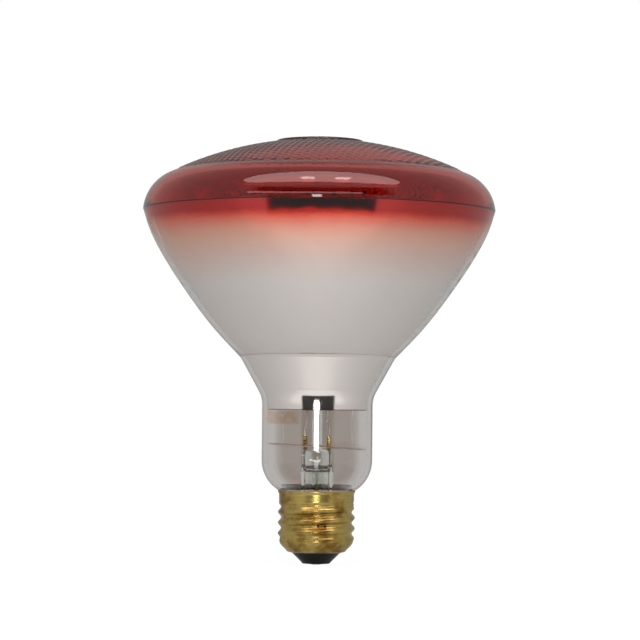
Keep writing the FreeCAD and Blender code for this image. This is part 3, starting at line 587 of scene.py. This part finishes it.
class Tent(Nodes):
    """The world's nodes, with the direction of each ray as azimuth and elevation."""

    def __init__(self, tree):
        super().__init__(tree)
        self.way = self.split(self.place("Generated"))
        front = self.math("MULTIPLY", self.way["Y"], -1.0)
        self.azimuth = self.math("ARCTAN2", self.way["X"], front)
        self.behind = self.math("ABSOLUTE", self.math("ARCTAN2", self.way["X"], self.way["Y"]))
        self.elevation = self.math("ARCSINE", self.way["Z"])

    def between(self, angle, limits, soft):
        """1 where an angle lies between two limits."""
        return self.within(angle, *[math.radians(degrees) for degrees in (*limits, soft)])

    def fading(self, angle, limits, smooth=False):
        """1 where an angle is under the first limit and 0 where it is over the second."""
        low, high = [math.radians(degrees) for degrees in limits]
        return self.spread(angle, low, high, 1.0, 0.0, smooth)

    def patch(self, across, upright, soft):
        """1 inside a rectangle of directions."""
        return self.math("MULTIPLY", self.between(self.azimuth, across, soft[0]),
                         self.between(self.elevation, upright, soft[1]))

    def room(self):
        """Grey tent, paler low and in front, with a brown core straight behind."""
        to_back = self.spread(self.way["Y"], -1.0, 1.0)
        height = self.spread(self.way["Z"], *HORIZON, smooth=True)
        room = self.mix(height, self.ramp(to_back, LOW_ROOM), self.ramp(to_back, HIGH_ROOM))
        core = self.math("MULTIPLY", self.fading(self.behind, CORE_SIDES, smooth=True),
                         self.between(self.elevation, CORE_HEIGHT, CORE_SOFT))
        return self.mix(core, room, CORE_BROWN)

    def opening(self, through_glass):
        """Dark opening in front, a little narrower at the top."""
        narrowing = self.spread(self.elevation, math.radians(OPENING_HEIGHT[0]), 0.0,
                                0.0, math.radians(OPENING_NARROWING))
        offset = self.math("SUBTRACT", self.azimuth, math.radians(OPENING_MIDDLE))
        aside = self.math("ADD", self.math("ABSOLUTE", offset), narrowing)
        opening = self.math("MULTIPLY", self.fading(aside, OPENING_SIDES),
                            self.between(self.elevation, OPENING_HEIGHT, OPENING_SOFT))
        strength = self.spread(through_glass, 0.0, 1.0, OPENING_OUTSIDE, 1.0)
        return self.math("MULTIPLY", opening, strength)


def world_light():
    """White to the camera. Every other ray sees the tent: a dark opening in front under a dark
    hood, a bar and a spot of light, and a low strip that isn't seen through glass."""
    world = bpy.data.worlds.new("light_tent")
    scene.world = world
    world.use_nodes = True
    world.node_tree.nodes.clear()
    made = Tent(world.node_tree)
    rays = made.node("LightPath").outputs
    through_glass = rays["Is Transmission Ray"]
    dark = made.math("MAXIMUM", made.opening(through_glass), made.patch(*HOOD))
    room = made.mix(dark, made.room(), DARK)
    room = made.mix(made.patch(*BAR), room, BAR_LIGHT)
    room = made.mix(made.patch(*SPOT), room, SPOT_LIGHT)
    outside = made.math("SUBTRACT", 1.0, through_glass)
    room = made.mix(made.math("MULTIPLY", made.patch(*LOW_STRIP), outside), room, STRIP_LIGHT)
    seen = made.node("Background")
    made.link(room, seen.inputs["Color"])
    white = made.node("Background")
    white.inputs["Color"].default_value = grey(1.0)
    blend = made.node("MixShader")
    made.link(rays["Is Camera Ray"], blend.inputs["Fac"])
    made.link(seen.outputs[0], blend.inputs[1])
    made.link(white.outputs[0], blend.inputs[2])
    made.link(blend.outputs[0], made.node("OutputWorld").inputs["Surface"])


# ---- lamps -------------------------------------------------------------------------------
DOWN = (0.0, 0.0, -1.0)
BACKWARD = (0.0, 1.0, 0.0)
WHITE = (1.0, 1.0, 1.0)
PANEL_PINK = (1.0, 0.80, 0.77)
ALL_ROUND = 180.0            # spread of an ordinary area light, in degrees


def area_light(name, shape, place, facing, size, power, colour=WHITE, spread=ALL_ROUND):
    data = bpy.data.lights.new(name, "AREA")
    data.shape = shape
    data.size, data.size_y = size
    data.energy = power
    data.color = colour
    data.spread = math.radians(spread)
    lamp = bpy.data.objects.new(name, data)
    lamp.location = place
    lamp.rotation_euler = Vector(facing).to_track_quat("-Z", "Y").to_euler()
    lamp.visible_camera = False
    scene.collection.objects.link(lamp)


def build_lights():
    """The tent, an overhead panel with two bulbs, and a narrow strip close to the neck."""
    world_light()
    area_light("overhead_panel", "ELLIPSE", (0.035, -0.40, 1.13), DOWN, (1.66, 0.68), 9.5,
               colour=PANEL_PINK)
    area_light("bulb_left", "RECTANGLE", (-0.10, -0.45, 1.08), DOWN, (0.12, 0.14), 0.4)
    area_light("bulb_right", "RECTANGLE", (0.20, -0.44, 1.08), DOWN, (0.12, 0.14), 0.4)
    area_light("neck_strip", "RECTANGLE", (-0.0024, -0.091, 0.047), BACKWARD, (0.014, 0.018),
               0.002, spread=60.0)


# ---- camera ------------------------------------------------------------------------------
CAMERA_DISTANCE = 0.94
CAMERA_Z = 0.0527
AIM = Vector((0.0006, 0.0, 0.0835))
FRAME_WIDTH = 0.219          # width of the view at the lamp's axis
SENSOR_WIDTH = 36.0          # in Blender's own millimetres
ROLL = math.radians(0.55)


def build_camera():
    data = bpy.data.cameras.new("camera")
    data.sensor_width = SENSOR_WIDTH
    data.lens = SENSOR_WIDTH * CAMERA_DISTANCE / FRAME_WIDTH
    data.clip_start = 0.01
    camera = bpy.data.objects.new("camera", data)
    camera.location = (AIM.x, -CAMERA_DISTANCE, CAMERA_Z)
    facing = (AIM - camera.location).to_track_quat("-Z", "Y").to_matrix().to_4x4()
    camera.rotation_euler = (facing @ Matrix.Rotation(ROLL, 4, "Z")).to_euler()
    scene.collection.objects.link(camera)
    scene.camera = camera


def main():
    scene.view_settings.view_transform = "Standard"
    by_slot = paint_nodes()
    add_lens(by_slot)
    build_floor()
    build_lights()
    build_camera()


main()
